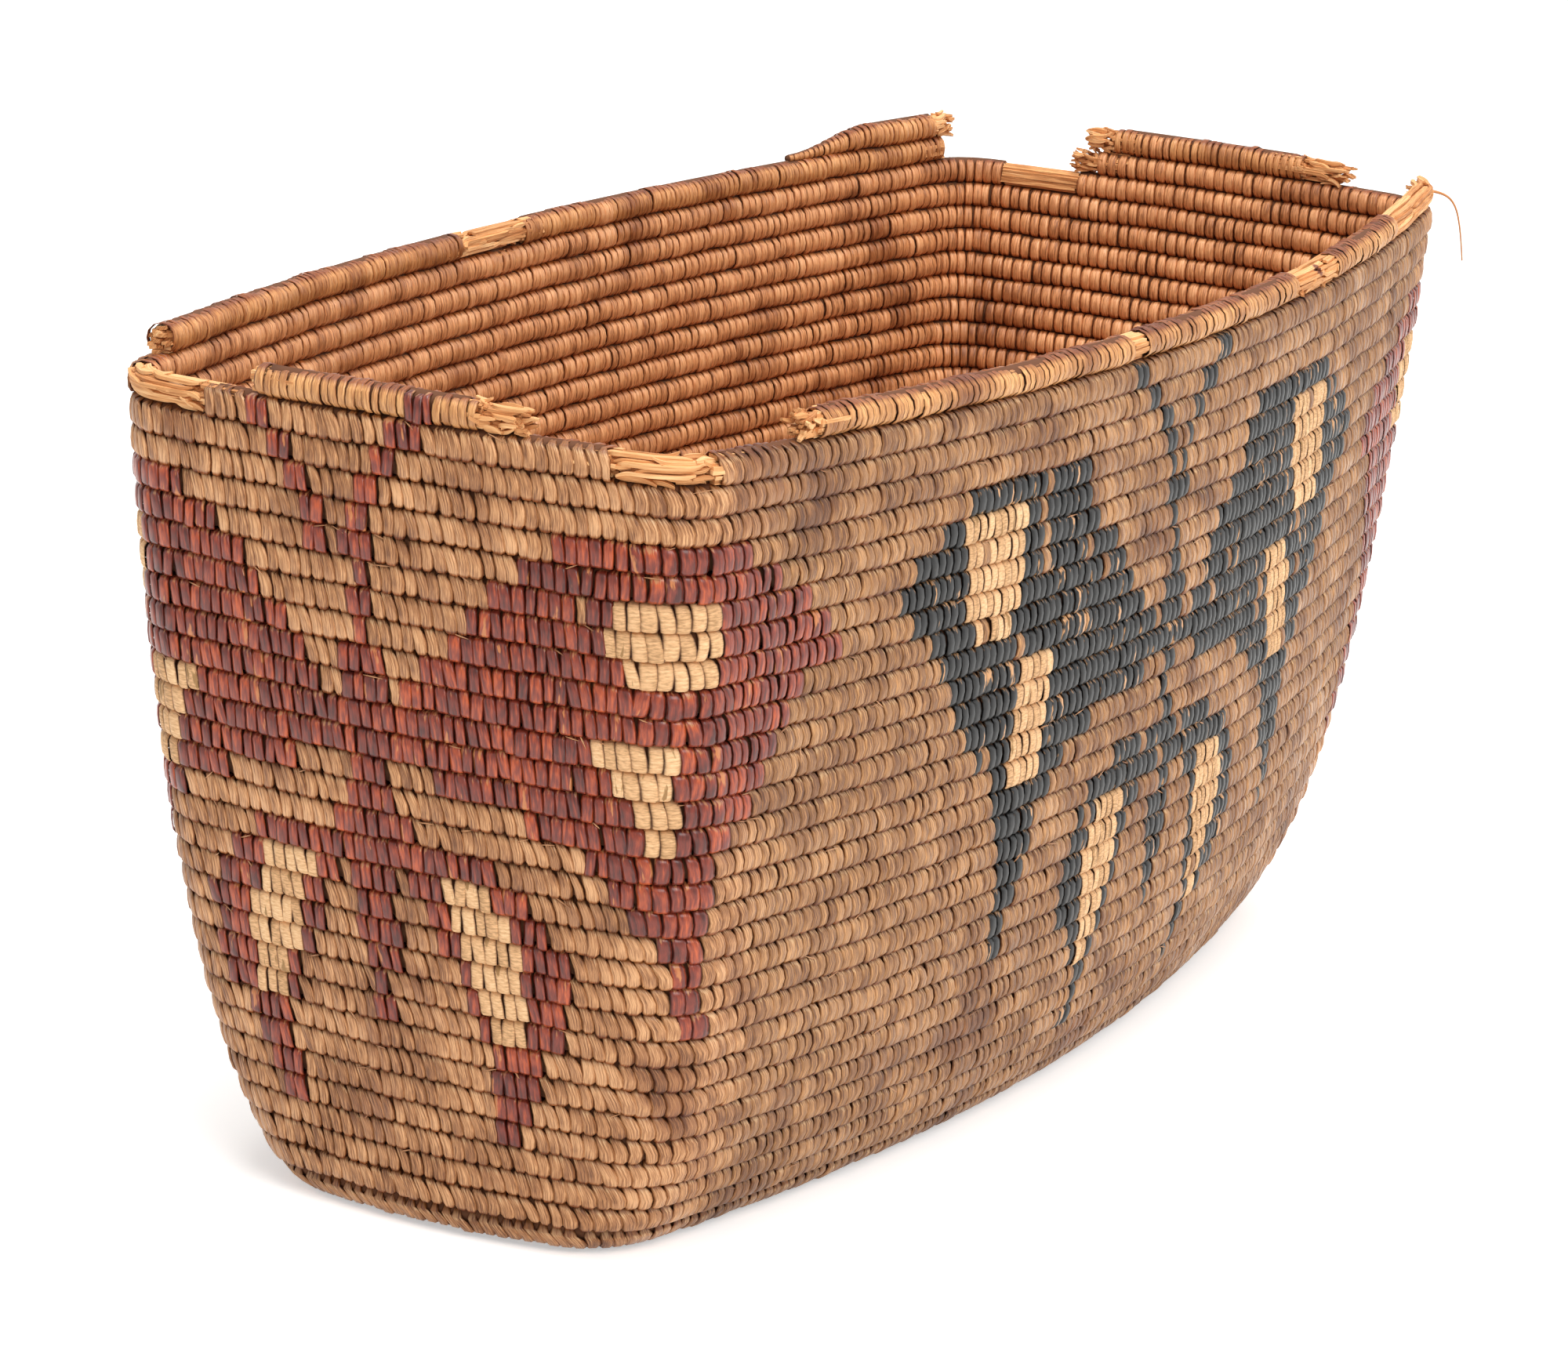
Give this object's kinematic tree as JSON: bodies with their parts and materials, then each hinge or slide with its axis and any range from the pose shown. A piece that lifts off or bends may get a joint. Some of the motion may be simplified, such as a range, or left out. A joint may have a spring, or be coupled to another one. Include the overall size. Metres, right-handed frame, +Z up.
{
  "type": "imbricated basket",
  "caption": "Open coiled cedar-root basket with an oblong flat base, flaring wall of climbing courses, and a broken rim.",
  "frame": {"origin": "centre of the basket's bounding box, on the surface that it stands on", "axes": "+Z up, X along the basket's length, and -Y out of the long side called the front"},
  "size_m": [0.4667, 0.2115, 0.2201],
  "materials": {
    "sewn_cedar_root": "close-sewn split root, matte with satin patches, warm brown",
    "bare_cedar_splints": "bare bundled splints, dry and matte, pale orange-tan"
  },
  "bodies": {
    "root": {"bare_splints_back": "bare_cedar_splints", "bare_splints_back_left_corner": "bare_cedar_splints", "bare_splints_back_right_corner": "bare_cedar_splints", "bare_splints_front": "bare_cedar_splints", "bare_splints_front_left_corner": "bare_cedar_splints", "bare_splints_front_right_corner": "bare_cedar_splints", "bare_splints_front_start": "bare_cedar_splints", "bare_splints_left_end": "bare_cedar_splints", "bare_splints_right_end_back": "bare_cedar_splints", "bare_splints_right_end_front": "bare_cedar_splints", "bare_splints_second_coil_end": "bare_cedar_splints", "base_winding": "sewn_cedar_root", "coil_finish_back": "sewn_cedar_root", "loose_fibre": "bare_cedar_splints", "rim_coil_back": "sewn_cedar_root", "rim_coil_back_left": "sewn_cedar_root", "rim_coil_front": "sewn_cedar_root", "rim_coil_front_right": "sewn_cedar_root", "rim_coil_left_end": "sewn_cedar_root", "rim_coil_right_end": "sewn_cedar_root", "second_coil_back_left": "sewn_cedar_root", "second_coil_front": "sewn_cedar_root", "second_coil_left_end": "sewn_cedar_root", "wall_course_01": "sewn_cedar_root", "wall_course_02": "sewn_cedar_root", "wall_course_03": "sewn_cedar_root", "wall_course_04": "sewn_cedar_root", "wall_course_05": "sewn_cedar_root", "wall_course_06": "sewn_cedar_root", "wall_course_07": "sewn_cedar_root", "wall_course_08": "sewn_cedar_root", "wall_course_09": "sewn_cedar_root", "wall_course_10_left_part": "sewn_cedar_root", "wall_course_10_right_part": "sewn_cedar_root", "wall_course_11_left_part": "sewn_cedar_root", "wall_course_11_right_part": "sewn_cedar_root", "wall_course_12": "sewn_cedar_root", "wall_course_13": "sewn_cedar_root", "wall_course_14": "sewn_cedar_root", "wall_course_15": "sewn_cedar_root", "wall_course_16": "sewn_cedar_root", "wall_course_17": "sewn_cedar_root", "wall_course_18": "sewn_cedar_root", "wall_course_19": "sewn_cedar_root", "wall_course_20": "sewn_cedar_root", "wall_course_21": "sewn_cedar_root", "wall_course_22": "sewn_cedar_root", "wall_course_23": "sewn_cedar_root", "wall_course_24": "sewn_cedar_root", "wall_course_25": "sewn_cedar_root", "wall_course_26": "sewn_cedar_root", "wall_course_27": "sewn_cedar_root", "wall_course_28": "sewn_cedar_root", "wall_course_29": "sewn_cedar_root", "wall_course_30": "sewn_cedar_root"}
  },
  "joints": []
}
